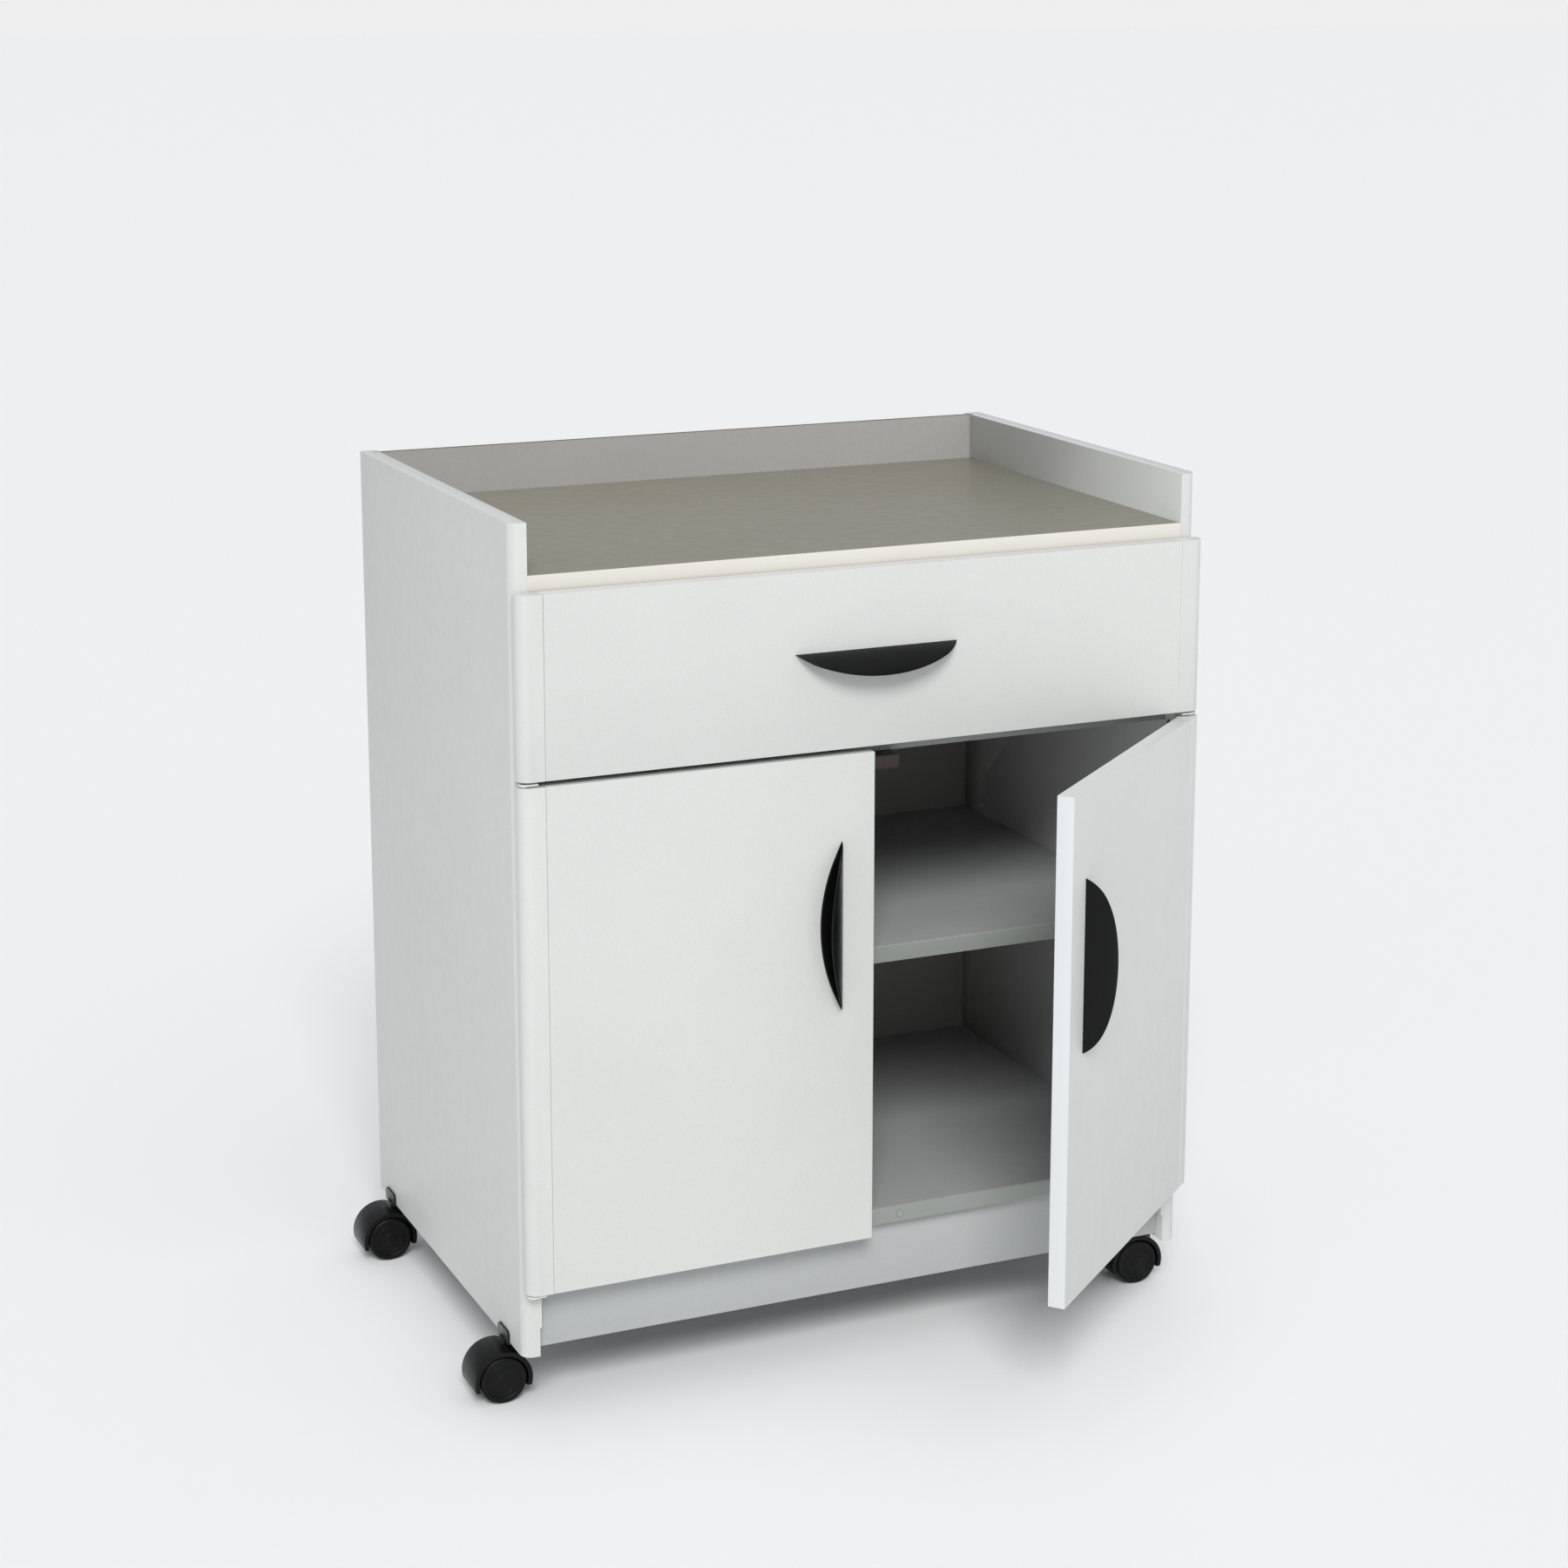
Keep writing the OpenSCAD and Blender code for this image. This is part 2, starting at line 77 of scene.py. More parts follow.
CORNERS = ("front_left", "front_right", "rear_left", "rear_right")


class Side(Enum):
    """The two sides of the cabinet, by the sign of X."""

    LEFT = -1
    RIGHT = 1

    @property
    def word(self) -> str:
        """The side's name as the frame's nodes spell it."""
        return self.name.lower()


@dataclass(frozen=True)
class Finish:
    """A surface finish: colour, gloss, slow mottling and a fine relief.

    Attributes:
        name: the material's name.
        slot: the record's material slot; not used.
        colour: linear base colour.
        roughness: mean roughness.
        metallic: 1 for bare metal.
        mottle: share by which the colour wanders.
        mottle_scale: how many patches of colour fit in a metre.
        grain_scale: how many grains fit in a metre.
        grain_height: height of the relief in metres.
        stretch: how much the grain is drawn out along X, Y and Z.
        speck: share by which fine specks darken the colour.
        coat: weight of a clear coat.
        specular: strength of the mirror-like reflection, 0.5 for common plastics.
    """

    name: str
    slot: str
    colour: tuple[float, float, float]
    roughness: float
    metallic: float = 0.0
    mottle: float = 0.03
    mottle_scale: float = 7.0
    grain_scale: float = 900.0
    grain_height: float = 0.00004
    stretch: tuple[float, float, float] = (1.0, 1.0, 1.0)
    speck: float = 0.0
    coat: float = 0.0
    specular: float = 0.5

    def material(self) -> bpy.types.Material:
        """Builds the finish once and returns it.

        Colour is the base times one plus slow noise, less specks; roughness wanders
        with a middle-sized noise; the relief is a fine noise through a bump node.
        """
        known = bpy.data.materials.get(self.name)
        if known:
            return known
        mat = bpy.data.materials.new(self.name)
        mat.use_nodes = True
        tree = mat.node_tree
        shader = tree.nodes["Principled BSDF"]
        shader.inputs["Metallic"].default_value = self.metallic
        shader.inputs["Coat Weight"].default_value = self.coat
        shader.inputs["Specular IOR Level"].default_value = self.specular
        place = tree.nodes.new("ShaderNodeTexCoord")
        drawn = tree.nodes.new("ShaderNodeMapping")
        drawn.inputs["Scale"].default_value = self.stretch
        tree.links.new(place.outputs["Object"], drawn.inputs["Vector"])

        slow = self._noise(tree, place.outputs["Object"], self.mottle_scale, 4.0)
        tint = self._between(tree, slow, 1.0 - self.mottle, 1.0 + self.mottle)
        if self.speck:
            dots = self._noise(tree, place.outputs["Object"], self.grain_scale * 0.7, 1.0)
            dark = self._between(tree, dots, 1.0 - self.speck, 1.0 + self.speck * 0.4)
            both = tree.nodes.new("ShaderNodeMath")
            both.operation = "MULTIPLY"
            tree.links.new(tint, both.inputs[0])
            tree.links.new(dark, both.inputs[1])
            tint = both.outputs[0]
        shade = tree.nodes.new("ShaderNodeVectorMath")
        shade.operation = "SCALE"
        shade.inputs[0].default_value = self.colour
        tree.links.new(tint, shade.inputs["Scale"])
        tree.links.new(shade.outputs[0], shader.inputs["Base Color"])

        worn = self._noise(tree, drawn.outputs["Vector"], self.mottle_scale * 9.0, 5.0)
        gloss = self._between(tree, worn, self.roughness * 0.85, min(1.0, self.roughness * 1.18))
        tree.links.new(gloss, shader.inputs["Roughness"])

        fine = self._noise(tree, drawn.outputs["Vector"], self.grain_scale, 2.0)
        bump = tree.nodes.new("ShaderNodeBump")
        bump.inputs["Strength"].default_value = 0.6
        bump.inputs["Distance"].default_value = self.grain_height
        tree.links.new(fine, bump.inputs["Height"])
        tree.links.new(bump.outputs["Normal"], shader.inputs["Normal"])
        return mat

    @staticmethod
    def _noise(tree: bpy.types.NodeTree, where: bpy.types.NodeSocket, scale: float,
               detail: float) -> bpy.types.NodeSocket:
        """Adds a noise of the given scale and returns its value."""
        noise = tree.nodes.new("ShaderNodeTexNoise")
        noise.inputs["Scale"].default_value = scale
        noise.inputs["Detail"].default_value = detail
        tree.links.new(where, noise.inputs["Vector"])
        return noise.outputs["Fac"]

    @staticmethod
    def _between(tree: bpy.types.NodeTree, value: bpy.types.NodeSocket, low: float,
                 high: float) -> bpy.types.NodeSocket:
        """Maps a noise's middle range, 0.3 to 0.7, onto low to high."""
        span = tree.nodes.new("ShaderNodeMapRange")
        span.inputs["From Min"].default_value = 0.3
        span.inputs["From Max"].default_value = 0.7
        span.inputs["To Min"].default_value = low
        span.inputs["To Max"].default_value = high
        tree.links.new(value, span.inputs["Value"])
        return span.outputs["Result"]


LAMINATE = Finish("grey_laminate", "laminate", (0.66, 0.665, 0.645), 0.42, mottle=0.012,
                  grain_scale=1100.0, grain_height=0.00005, speck=0.035)
EDGING = Finish("pale_edging", "laminate", (0.72, 0.735, 0.745), 0.38, mottle=0.01,
                grain_scale=1400.0, grain_height=0.00003, speck=0.015)
# Painted shade: the grey laminate's colour darkened so the kick plate, bottom panel, front rail,
# shelf and drawer bottom look shaded.
SHADE_DARKENED_LAMINATE = Finish("interior_laminate", "laminate", (0.44, 0.45, 0.445), 0.45, mottle=0.012,
                  grain_scale=1100.0, grain_height=0.00005, speck=0.035)
# Painted shade: the pale edging darkened for the recessed front edges of the shelf and the bottom
# panel.
SHADED_EDGING = Finish("green_grey_edging", "laminate", (0.285, 0.302, 0.282), 0.42, mottle=0.01,
                       grain_scale=1400.0, grain_height=0.00003, speck=0.015)
DECK = Finish("greige_laminate", "deck_laminate", (0.245, 0.231, 0.178), 0.34, mottle=0.02,
              grain_scale=1100.0, grain_height=0.00005, speck=0.05)
CREAM = Finish("cream_edge_band", "edge_band", (0.74, 0.71, 0.655), 0.40, mottle=0.01, speck=0.01)
HARDBOARD = Finish("brown_hardboard", "hardboard", (0.16, 0.105, 0.065), 0.78, mottle=0.16,
                   mottle_scale=45.0, grain_scale=500.0, grain_height=0.0002, speck=0.25)
# Painted shade: the back's light grey paint darkened to the shade that falls on its front face.
SHADE_DARKENED_BACK = Finish("painted_hardboard", "hardboard", (0.39, 0.375, 0.36), 0.5, mottle=0.02,
                      grain_scale=600.0, grain_height=0.00008, speck=0.03)
PULL = Finish("black_satin_plastic", "pull_plastic", (0.003, 0.003, 0.003), 0.34, mottle=0.15,
              grain_scale=1600.0, grain_height=0.00004, specular=0.18)
HOOD = Finish("black_hood_nylon", "hood_plastic", (0.004, 0.004, 0.004), 0.32, mottle=0.12,
              grain_scale=1500.0, grain_height=0.00005, specular=0.2)
WHEEL = Finish("black_wheel_nylon", "wheel_plastic", (0.004, 0.004, 0.004), 0.40, mottle=0.2,
               mottle_scale=60.0, grain_scale=1200.0, grain_height=0.00006, speck=0.1,
               specular=0.18)
ENAMEL = Finish("black_enamel", "black_steel", (0.005, 0.005, 0.005), 0.3, mottle=0.1,
                grain_scale=700.0, grain_height=0.00003, coat=0.1, specular=0.25)
CATCH = Finish("dark_brown_plastic", "catch_plastic", (0.035, 0.027, 0.022), 0.5, mottle=0.1,
               grain_scale=1200.0)
POWDER = Finish("powder_coated_steel", "coated_steel", (0.70, 0.70, 0.67), 0.45, mottle=0.02,
                grain_scale=700.0, grain_height=0.00008, speck=0.03)
NYLON = Finish("natural_nylon", "nylon", (0.78, 0.78, 0.72), 0.45, mottle=0.04,
               grain_scale=900.0)
CLEAR_PAD = Finish("clear_pad", "nylon", (0.31, 0.325, 0.305), 0.25, mottle=0.02)
ZINC = Finish("zinc_plate", "zinc_steel", (0.60, 0.61, 0.63), 0.34, metallic=1.0, mottle=0.08,
              mottle_scale=50.0, grain_scale=700.0, stretch=(1.0, 1.0, 0.15))


# ---- Mesh making ----

def solid(name: str, rings: np.ndarray, crease: float = 32.0) -> bpy.types.Object:
    """A closed skin through rings of points, capped at its first and last ring.

    Point (i, j) joins (i, j + 1) round its ring and (i + 1, j) on the next one. The skin
    is turned outwards by the sign of its volume, a sum of triple products.

    Args:
        name: the piece's name.
        rings: an array of ring, point and coordinate, in metres.
        crease: edges sharper than this many degrees stay sharp.

    Returns:
        The new object, at the origin.
    """
    count, around, _ = rings.shape
    points = rings.reshape(-1, 3)
    i, j = np.meshgrid(np.arange(count - 1), np.arange(around), indexing="ij")
    following = (j + 1) % around
    quads = np.stack([i * around + j, i * around + following,
                      (i + 1) * around + following, (i + 1) * around + j], axis=-1).reshape(-1, 4)
    first = np.arange(around)[::-1]
    last = np.arange(around) + (count - 1) * around
    a, b, c, d = (points[quads[:, k]] for k in range(4))
    volume = np.einsum("ij,ij->", a, np.cross(b, c)) + np.einsum("ij,ij->", a, np.cross(c, d))
    for cap in (first, last):
        fan = points[cap]
        volume += np.einsum("ij,ij->", np.broadcast_to(fan[0], fan[1:-1].shape),
                            np.cross(fan[1:-1], fan[2:]))
    faces = quads.tolist() + [first.tolist(), last.tolist()]
    if volume < 0:
        faces = [face[::-1] for face in faces]
    mesh = bpy.data.meshes.new(name)
    mesh.from_pydata(points.tolist(), [], faces)
    mesh.shade_smooth()
    mesh.set_sharp_from_angle(angle=math.radians(crease))
    mesh.update()
    made = bpy.data.objects.new(name, mesh)
    bpy.context.collection.objects.link(made)
    return made


def rounded_slab(name: str, low: np.ndarray, high: np.ndarray, ease: float) -> bpy.types.Object:
    """A thin board with eased edges.

    Its outline in X and Z is a rectangle with quarter-circle corners. The outline runs
    from the front to the back, drawn in by ease at both ends along a quarter circle.

    Args:
        name: the piece's name.
        low: the box's low corner.
        high: the box's high corner.
        ease: radius of every edge.

    Returns:
        The new object.
    """
    turn = np.linspace(0.0, math.pi / 2, 5)
    corner_angle = np.concatenate([turn + k * math.pi / 2 for k in range(4)])
    sign_x = np.repeat([1.0, -1.0, -1.0, 1.0], len(turn))
    sign_z = np.repeat([1.0, 1.0, -1.0, -1.0], len(turn))
    half_x, half_z = (high[0] - low[0]) / 2 - ease, (high[2] - low[2]) / 2 - ease
    middle = (low + high) / 2
    inset = ease * np.concatenate([np.cos(turn[::-1]), np.cos(turn)])
    fall = ease * (1.0 - np.sin(turn))
    depth = np.concatenate([low[1] + fall[::-1], high[1] - fall])
    x = middle[0] + sign_x * half_x + inset[:, None] * np.cos(corner_angle)
    z = middle[2] + sign_z * half_z + inset[:, None] * np.sin(corner_angle)
    y = np.broadcast_to(depth[:, None], x.shape)
    return solid(name, np.stack([x, y, z], axis=-1))


# ---- The workshop ----

class Workshop:
    """Holds the frame, and dresses and fastens every piece to it."""

    def __init__(self) -> None:
        """Loads the frame and notes which body each node belongs to."""
        self.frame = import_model()
        bodies = self.frame["record"]["behaviour"]["bodies"]
        self.body_of = {node: body for body, nodes in bodies.items() for node in nodes}
        joints = self.frame["record"]["behaviour"]["joints"]
        self.joints = {joint["name"]: joint for joint in joints}

    def box(self, node: str) -> tuple[np.ndarray, np.ndarray]:
        """A node's low and high corners as arrays."""
        low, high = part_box(node)
        return np.array(low), np.array(high)

    def fasten(self, piece: bpy.types.Object, finish: Finish, body: str, *nodes: str) -> None:
        """Gives a piece its finish, rides it on a body and hides the nodes it stands for."""
        piece.data.materials.clear()
        piece.data.materials.append(finish.material())
        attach(piece, body)
        if nodes:
            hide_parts(*nodes)
        log.info("%s on %s in %s", piece.name, body, finish.name)

    def eased(self, node: str, finish: Finish, ease: float = 0.0008) -> bpy.types.Object:
        """A node's own shape, merged from a copy, with its edges eased.

        Args:
            node: the frame's node.
            finish: its finish.
            ease: radius of the eased edges.

        Returns:
            The new piece.
        """
        mesh = self.frame["nodes"][node].data.copy()
        work = bmesh.new()
        work.from_mesh(mesh)
        bmesh.ops.remove_doubles(work, verts=work.verts, dist=2e-6)
        bmesh.ops.dissolve_limit(work, angle_limit=math.radians(0.5), verts=work.verts,
                                 edges=work.edges)
        work.to_mesh(mesh)
        work.free()
        mesh.name = f"{node}_shape"
        mesh.shade_smooth()
        piece = bpy.data.objects.new(f"{node}_dressed", mesh)
        bpy.context.collection.objects.link(piece)
        bevel = piece.modifiers.new("eased_edges", "BEVEL")
        bevel.width = ease
        bevel.segments = 3
        bevel.limit_method = "ANGLE"
        bevel.angle_limit = math.radians(38)
        bevel.harden_normals = True
        self.fasten(piece, finish, self.body_of[node], node)
        return piece


# ---- Sub-assemblies ----

@dataclass
class Carcass:
    """The cabinet's boards and its hardboard back."""

    shop: Workshop
    skin: float = 0.3 * MM
    ease: float = 0.7 * MM

    def build(self) -> None:
        """Makes every board of the cabinet."""
        for node in ("left_side_panel", "right_side_panel"):
            self.shop.eased(node, LAMINATE, self.ease)
        # These boards take the grey laminate darkened to paint their shade.
        for node in ("bottom_panel", "kick_plate", "front_rail", "shelf"):
            self.shop.eased(node, SHADE_DARKENED_LAMINATE, self.ease)
        self.shop.eased("deck_panel", DECK, 0.4 * MM)
        self.shop.eased("deck_edge_band", CREAM, 0.5 * MM)
        self.back()
        self.front_edges()

    def back(self) -> None:
        """The back: a brown core with a painted skin on its front, whose light grey is darkened to
        paint the shade on it.
        """
        low, high = self.shop.box("back_panel")
        core_low = low + np.array([0.0, self.skin, 0.0])
        core = rounded_slab("back_core", core_low, high, 0.5 * MM)
        self.shop.fasten(core, HARDBOARD, "cabinet", "back_panel")
        inset = np.array([1.0, 0.0, 1.0]) * 0.6 * MM
        skin_high = np.array([high[0], low[1] + self.skin, high[2]])
        # The skin's grey is darkened to paint the shade on the back's front face.
        skin = rounded_slab("back_painted_face", low + inset, skin_high - inset, 0.1 * MM)
        self.shop.fasten(skin, SHADE_DARKENED_BACK, "cabinet", "back_panel")

    def front_edges(self) -> None:
        """Thin edging on the front edges of the shelf and the bottom panel, its pale colour
        darkened to paint the shade on these recessed edges.
        """
        for node in ("shelf", "bottom_panel"):
            low, high = self.shop.box(node)
            tape_low = np.array([low[0] + MM, low[1] - 0.4 * MM, low[2] + 0.4 * MM])
            tape_high = np.array([high[0] - MM, low[1] + 0.2 * MM, high[2] - 0.4 * MM])
            tape = rounded_slab(f"{node}_edging", tape_low, tape_high, 0.25 * MM)
            # The edging's darkened colour paints the shade on these recessed edges.
            self.shop.fasten(tape, SHADED_EDGING, "cabinet")


@dataclass(frozen=True)
class CrescentPull:
    """The form of a crescent cup pull.

    The section across it is one closed line: out along the hood's bulging arc, round
    its rim, back under the arc, along the base plate, round its edge and home.

    Attributes:
        length: length of the straight edge.
        base_w: width of the base plate at its middle.
        hood_w: width of the hood at its middle.
        out: how far the hood stands out at its middle.
        wall: thickness of the hood and the base plate.
        bulge: rise of the hood's arc above its chord.
        thinnest: the wall's greatest share of the hood's width near the tips.
        tip: share of the length at which the end stations stand.
        stations: sections along the pull.
        steps: points along each arc or straight of a section.
        rim_steps: points round the rim and round the plate's edge.
    """

    length: float = 180 * MM
    base_w: float = 24.4 * MM
    hood_w: float = 21.5 * MM
    out: float = 27.5 * MM
    wall: float = 2.6 * MM
    bulge: float = 4.0 * MM
    thinnest: float = 0.38
    tip: float = 0.9985
    stations: int = 121
    steps: int = 14
    rim_steps: int = 7

    def width_at(self, x: np.ndarray, widest: float) -> np.ndarray:
        """Width of a circle's segment x along its chord: root of r2 - x2, less r - widest."""
        r = (self.length ** 2 / 4 + widest ** 2) / (2 * widest)
        return np.sqrt(r * r - x * x) - (r - widest)

    def rings(self) -> np.ndarray:
        """Rings of (along, across, out) for stations spaced by a sine along the chord."""
        slope = math.hypot(self.hood_w, self.out)
        radius = (slope ** 2 / 4 + self.bulge ** 2) / (2 * self.bulge)
        centre_s = self.hood_w / 2 + (radius - self.bulge) * self.out / slope
        centre_h = self.out / 2 - (radius - self.bulge) * self.hood_w / slope
        spread = np.sin(np.linspace(-1.0, 1.0, self.stations) * math.pi / 2)
        x = spread * self.length / 2 * self.tip
        hood = self.width_at(x, self.hood_w)[:, None]
        base = self.width_at(x, self.base_w)[:, None]
        wall = np.minimum(self.wall, self.thinnest * hood)
        share = np.linspace(0.0, 1.0, self.steps)[None, :]
        half_turn = np.linspace(0.0, math.pi, self.rim_steps + 2)[None, 1:-1]

        start = math.atan2(-centre_h, -centre_s) % (2 * math.pi)
        rim_h = centre_h + np.sqrt(radius ** 2 - (hood - centre_s) ** 2)
        end = np.arctan2(rim_h - centre_h, hood - centre_s)
        angle = start + (end - start) * share
        outer = (centre_s + radius * np.cos(angle), centre_h + radius * np.sin(angle))
        inner_r = radius - wall
        foot = math.pi - np.arcsin(np.clip((wall - centre_h) / inner_r, -1.0, 1.0))
        back = end + (np.maximum(foot, end) - end) * share
        inner = (centre_s + inner_r * np.cos(back), centre_h + inner_r * np.sin(back))
        mid_r = radius - wall / 2
        rim = (centre_s + mid_r * np.cos(end) + wall / 2 * np.cos(end - half_turn),
               centre_h + mid_r * np.sin(end) + wall / 2 * np.sin(end - half_turn))
        edge_s = np.maximum(base - wall / 2, inner[0][:, -1:])
        top_s = inner[0][:, -1:] + (edge_s - inner[0][:, -1:]) * share[:, 1:]
        top = (top_s, np.broadcast_to(wall, top_s.shape))
        nose = (edge_s + wall / 2 * np.sin(half_turn), wall / 2 + wall / 2 * np.cos(half_turn))
        under_s = edge_s * (1.0 - share[:, :-1])
        under = (under_s, np.zeros_like(under_s))
        across = np.concatenate([outer[0], rim[0], inner[0], top[0], nose[0], under[0]], axis=1)
        out = np.concatenate([outer[1], rim[1], inner[1], top[1], nose[1], under[1]], axis=1)
        along = np.broadcast_to(x[:, None], across.shape)
        return np.stack([along, across, np.maximum(out, 0.0)], axis=-1)

    def placed(self, origin: np.ndarray, along: np.ndarray, across: np.ndarray,
               out: np.ndarray) -> np.ndarray:
        """The rings in the frame: origin plus each coordinate times its direction."""
        return origin + self.rings() @ np.stack([along, across, out])


@dataclass
class Drawer:
    """The drawer's front, its box and its runners."""

    shop: Workshop
    ease: float = 0.7 * MM

    def build(self) -> None:
        """Makes the drawer and both halves of its runners."""
        for node in ("drawer_front", "drawer_front_mouldings", "drawer_left_side",
                     "drawer_right_side", "drawer_back"):
            self.shop.eased(node, LAMINATE, self.ease)
        # The drawer bottom takes the grey laminate darkened to paint its shade.
        self.shop.eased("drawer_bottom", SHADE_DARKENED_LAMINATE, 0.3 * MM)
        for side in Side:
            for part in ("cabinet_runner", "drawer_runner"):
                self.shop.eased(f"{side.word}_{part}", POWDER, 0.3 * MM)
            for part in ("cabinet_roller", "drawer_roller"):
                self.shop.eased(f"{side.word}_{part}", NYLON, 0.6 * MM)
        self.pull()

    def pull(self) -> None:
        """The drawer's pull, its open side down."""
        low, high = self.shop.box("drawer_pull")
        origin = np.array([(low[0] + high[0]) / 2, high[1], high[2]])
        rings = CrescentPull().placed(origin, X_AXIS, -Z_AXIS, -Y_AXIS)
        self.shop.fasten(solid("drawer_crescent_pull", rings), PULL, "drawer", "drawer_pull")


@dataclass
class Door:
    """One door with its moulding, pull, edging and fittings."""

    shop: Workshop
    side: Side
    ease: float = 0.7 * MM

    @property
    def rest_angle(self) -> float:
        """How far the door stands open at rest, in radians: its joint's lower limit reversed."""
        low, _ = self.shop.joints[f"{self.side.word}_door_hinge"]["range_deg"]
        return math.radians(-low) * self.side.value

    def swung(self, points: np.ndarray) -> np.ndarray:
        """Points of the closed door turned about its pin to where it rests."""
        pin = np.array(self.shop.joints[f"{self.side.word}_door_hinge"]["pos_m"])
        turn = np.array(Euler((0.0, 0.0, self.rest_angle)).to_matrix())
        return pin + (points - pin) @ turn.T

    def build(self) -> None:
        """Makes the whole door."""
        word = self.side.word
        for part in ("door_panel", "door_moulding"):
            self.shop.eased(f"{word}_{part}", LAMINATE, self.ease)
        self.shop.eased(f"{word}_door_bushes", NYLON, 0.2 * MM)
        self.shop.eased(f"{word}_strike_plate", ZINC, 0.2 * MM)
        self.pull()
        self.edge_tape()

    def pull(self) -> None:
        """The door's pull, its open side towards the pins, placed as on the closed left door."""
        low, high = self.shop.box("left_door_pull")
        sign = self.side.value
        origin = np.array([-sign * high[0], high[1], (low[2] + high[2]) / 2])
        rings = CrescentPull().placed(origin, Z_AXIS, sign * X_AXIS, -Y_AXIS)
        name = f"{self.side.word}_door_crescent_pull"
        self.shop.fasten(solid(name, self.swung(rings)), PULL, f"{self.side.word}_door",
                         f"{self.side.word}_door_pull")

    def edge_tape(self) -> None:
        """Pale edging on the door's free edge."""
        low, high = self.shop.box("left_door_panel")
        tape_t, inset = 0.5 * MM, 0.5 * MM
        tape_low = np.array([high[0] - 0.2 * MM, low[1] + inset, low[2] + inset])
        tape_high = np.array([high[0] + tape_t, high[1] - inset, high[2] - inset])
        tape = rounded_slab(f"{self.side.word}_door_edging", tape_low, tape_high, 0.3 * MM)
        points = np.empty(len(tape.data.vertices) * 3)
        tape.data.vertices.foreach_get("co", points)
        points = points.reshape(-1, 3)
        if self.side is Side.RIGHT:
            points[:, 0] *= -1.0
            tape.data.flip_normals()
        tape.data.vertices.foreach_set("co", self.swung(points).ravel())
        tape.data.update()
        self.shop.fasten(tape, EDGING, f"{self.side.word}_door")


@dataclass
class Hardware:
    """Pins, brackets, catches and fasteners of the cabinet."""

    shop: Workshop

    def build(self) -> None:
        """Dresses every fitting."""
        for node in ("shelf_pins", "cam_fasteners", "hinge_pins", "panel_screws", "caster_stems"):
            self.shop.eased(node, ZINC, 0.2 * MM)
        self.shop.eased("hinge_brackets", POWDER, 0.3 * MM)
        self.shop.eased("caster_brackets", ENAMEL, 0.4 * MM)
        self.shop.eased("magnetic_catches", CATCH, 0.8 * MM)
        self.shop.eased("door_bumpers", CLEAR_PAD, 0.4 * MM)


@dataclass
class Caster:
    """One twin-wheel caster under a named corner."""

    shop: Workshop
    corner: str
    tread_r: float = 3.0 * MM
    around: int = 96

    def build(self) -> None:
        """Makes the hood, the axle and both wheels."""
        self.shop.eased(f"{self.corner}_hood", HOOD, 1.0 * MM)
        self.shop.eased(f"{self.corner}_axle", ZINC, 0.3 * MM)
        for letter, facing in (("a", -1.0), ("b", 1.0)):
            self.wheel(f"{self.corner}_wheel_{letter}", facing)

    def wheel(self, node: str, facing: float) -> None:
        """One wheel: a profile of radius and width turned about the axle.

        The profile climbs out of the blind bore, crosses the inner face, rounds the
        tread, steps into a dished face with a raised ring and ends on a domed cap.
        """
        low, high = self.shop.box(node)
        centre = (low + high) / 2
        radius, width = (high[2] - low[2]) / 2, high[1] - low[1]
        quarter = np.linspace(0.0, math.pi / 2, 7)
        tread = self.tread_r
        inner_r = 1.2 * MM
        inner = np.stack([radius - inner_r + inner_r * np.sin(quarter),
                          inner_r - inner_r * np.cos(quarter)], axis=1)
        outer = np.stack([radius - tread + tread * np.cos(quarter),
                          width - tread + tread * np.sin(quarter)], axis=1)
        cap_r, cap_rise, dish = 6.5 * MM, 0.9 * MM, 1.1 * MM
        dome = np.stack([cap_r * np.cos(quarter[:-1]),
                         width - dish + cap_rise * np.sin(quarter[:-1])], axis=1)
        face = np.array([[19.4, -0.15], [18.9, -0.5], [18.5, -1.1], [15.6, -1.1], [15.2, -0.7],
                         [14.3, -0.7], [13.9, -1.1], [7.2, -1.2]]) * MM + np.array([0.0, width])
        bore = np.array([[0.2, width / MM - 2.4], [3.05, width / MM - 2.4], [3.05, 0.4],
                         [3.4, 0.0]]) * MM
        profile = np.concatenate([bore, inner, outer, face, dome])
        angle = np.linspace(0.0, 2 * math.pi, self.around, endpoint=False)
        rings = np.stack([
            centre[0] + profile[:, :1] * np.cos(angle),
            np.broadcast_to(centre[1] - facing * width / 2 + facing * profile[:, 1:],
                            (len(profile), self.around)),
            centre[2] + profile[:, :1] * np.sin(angle)], axis=-1)
        self.shop.fasten(solid(f"{node}_turned", rings, 40.0), WHEEL, node, node)


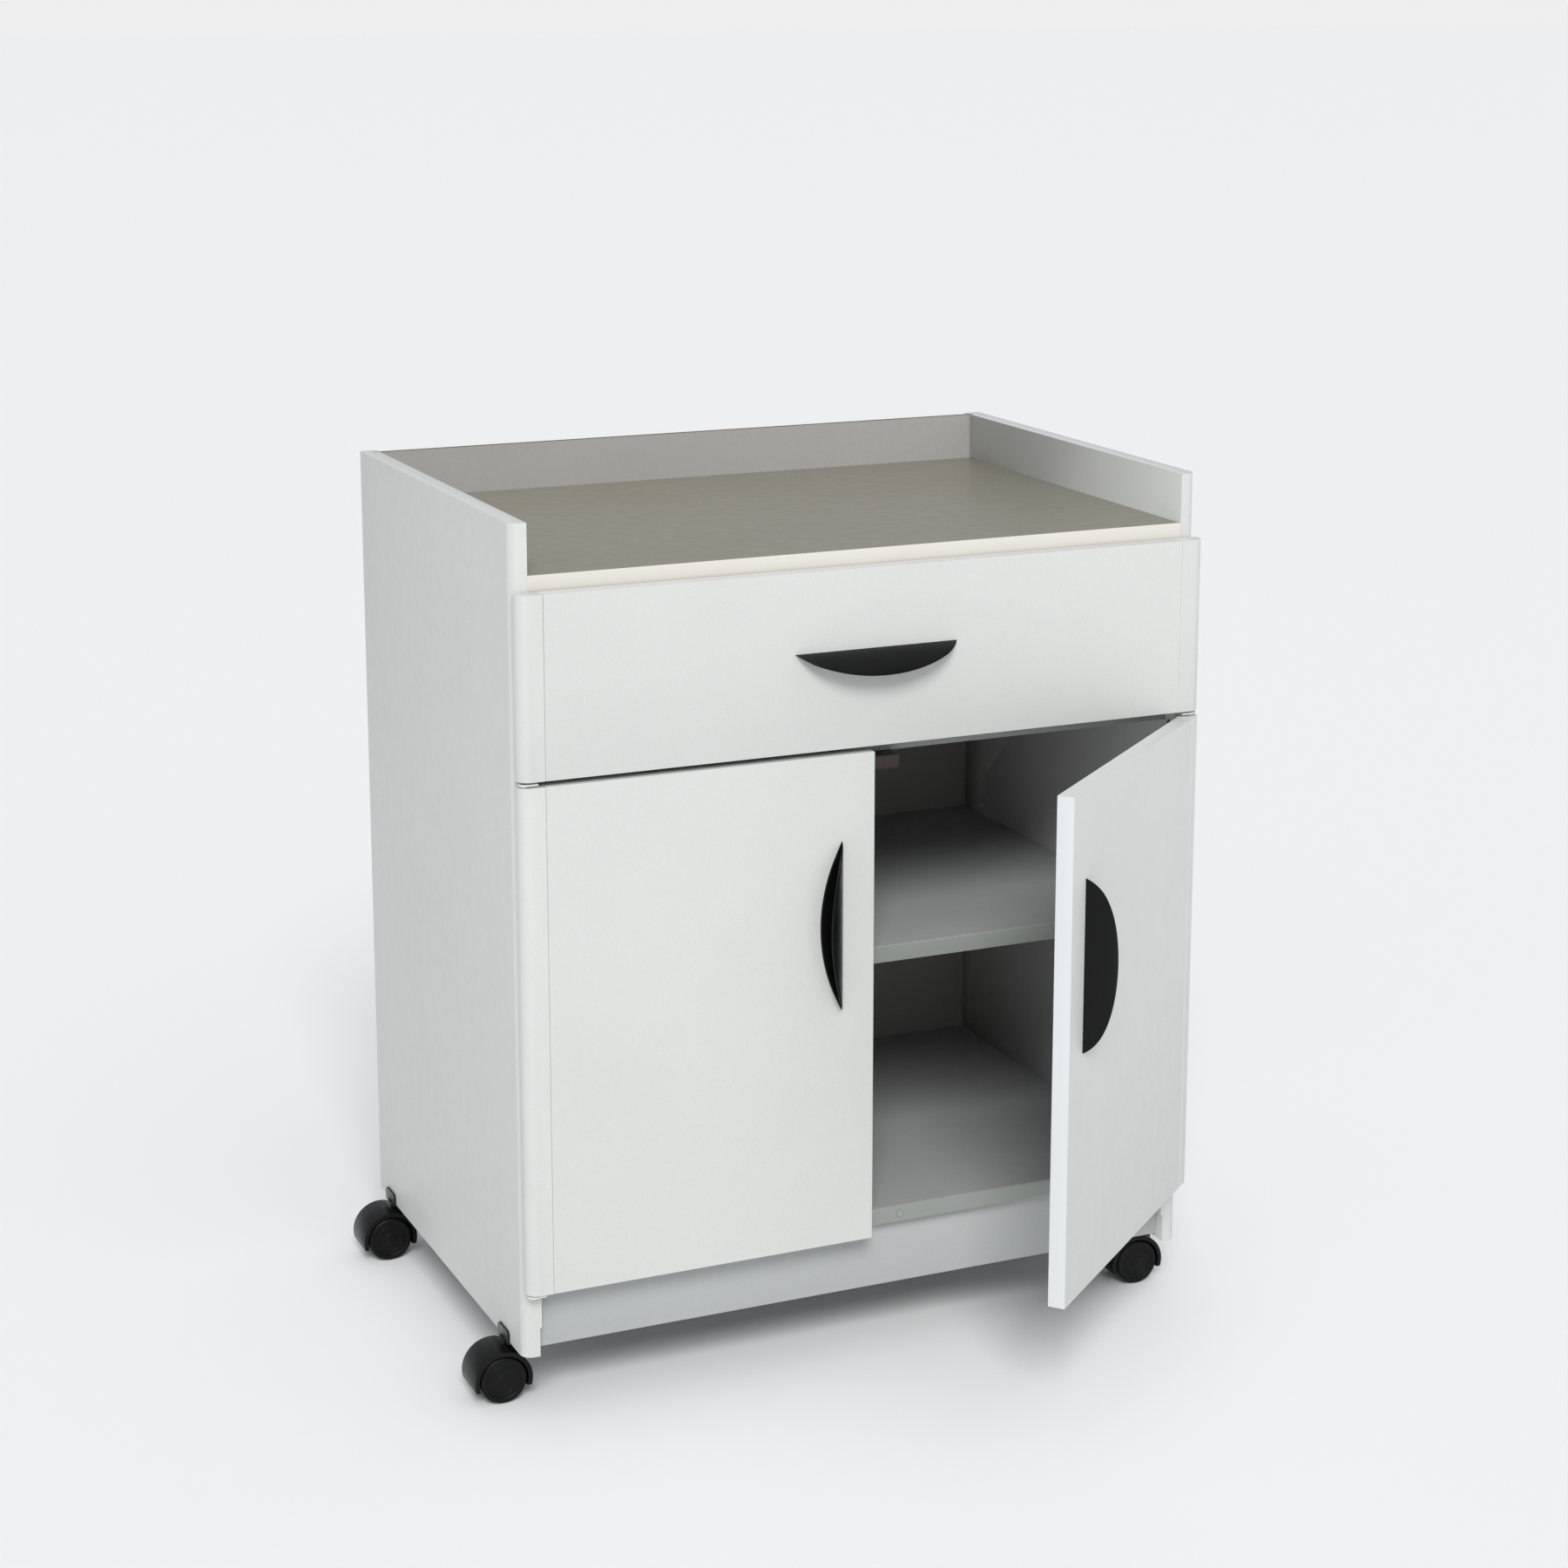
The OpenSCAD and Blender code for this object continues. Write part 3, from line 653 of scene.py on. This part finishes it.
@dataclass
class Studio:
    """A pale floor, soft lights and the camera.

    Attributes:
        eye: the camera's place.
        azimuth: how far the camera looks to the right of +Y, in degrees.
        tilt: how far it looks down, in degrees.
        lens: focal length in millimetres.
        shift_y: vertical shift as a share of the sensor.
    """

    eye: tuple[float, float, float] = (-1.332, -3.059, 1.446)
    azimuth: float = 23.8
    tilt: float = 11.96
    lens: float = 72.06
    shift_y: float = -0.1

    def build(self) -> None:
        """Sets up everything that isn't the object."""
        self.floor()
        self.lights()
        self.camera()

    def floor(self) -> None:
        """A wide flat floor."""
        half, grey = 60.0, 0.90
        mesh = bpy.data.meshes.new("floor")
        mesh.from_pydata([(-half, -half, 0), (half, -half, 0), (half, half, 0), (-half, half, 0)],
                         [], [(0, 1, 2, 3)])
        floor = bpy.data.objects.new("floor", mesh)
        bpy.context.collection.objects.link(floor)
        paint = bpy.data.materials.new("pale_floor")
        paint.use_nodes = True
        shader = paint.node_tree.nodes["Principled BSDF"]
        shader.inputs["Base Color"].default_value = (grey, grey, grey, 1.0)
        shader.inputs["Roughness"].default_value = 0.9
        mesh.materials.append(paint)

    def lights(self) -> None:
        """A soft key from the front left, a weak light from above and a pale room."""
        world = bpy.data.worlds.new("room")
        bpy.context.scene.world = world
        world.use_nodes = True
        tree = world.node_tree
        room = tree.nodes["Background"]
        room.inputs["Color"].default_value = (0.93, 0.96, 1.0, 1.0)
        room.inputs["Strength"].default_value = 0.50
        seen = tree.nodes.new("ShaderNodeBackground")
        seen.inputs["Strength"].default_value = 0.86
        seen.inputs["Color"].default_value = (1.0, 1.0, 1.0, 1.0)
        path = tree.nodes.new("ShaderNodeLightPath")
        choice = tree.nodes.new("ShaderNodeMixShader")
        tree.links.new(path.outputs["Is Camera Ray"], choice.inputs["Fac"])
        tree.links.new(room.outputs[0], choice.inputs[1])
        tree.links.new(seen.outputs[0], choice.inputs[2])
        tree.links.new(choice.outputs[0], tree.nodes["World Output"].inputs["Surface"])
        self.sun("key", azimuth=-20.0, height=40.0, strength=2.05, spread=22.0)
        self.sun("top", azimuth=60.0, height=75.0, strength=0.25, spread=60.0)
        bpy.context.scene.view_settings.view_transform = "Standard"

    def sun(self, name: str, azimuth: float, height: float, strength: float, spread: float) -> None:
        """A soft distant light from an azimuth and a height above the floor, in degrees."""
        data = bpy.data.lights.new(name, "SUN")
        data.energy = strength
        data.angle = math.radians(spread)
        sun = bpy.data.objects.new(name, data)
        sun.rotation_euler = Euler((math.radians(90.0 - height), 0.0, math.radians(azimuth)))
        sun.location = (0.0, 0.0, 3.0)
        bpy.context.collection.objects.link(sun)

    def camera(self) -> None:
        """The camera, from the front left and above."""
        data = bpy.data.cameras.new("camera")
        data.lens = self.lens
        data.sensor_width = 36.0
        data.shift_y = self.shift_y
        camera = bpy.data.objects.new("camera", data)
        camera.location = self.eye
        camera.rotation_euler = Euler((math.radians(90.0 - self.tilt), 0.0,
                                       -math.radians(self.azimuth)))
        bpy.context.collection.objects.link(camera)
        bpy.context.scene.camera = camera


def main() -> None:
    """Builds the stand piece by piece."""
    logging.basicConfig(level=logging.INFO, format="%(message)s")
    shop = Workshop()
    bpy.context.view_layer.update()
    Studio().build()
    Carcass(shop).build()
    Drawer(shop).build()
    for side in Side:
        Door(shop, side).build()
    Hardware(shop).build()
    for corner in CORNERS:
        Caster(shop, corner).build()


if __name__ == "__main__":
    main()
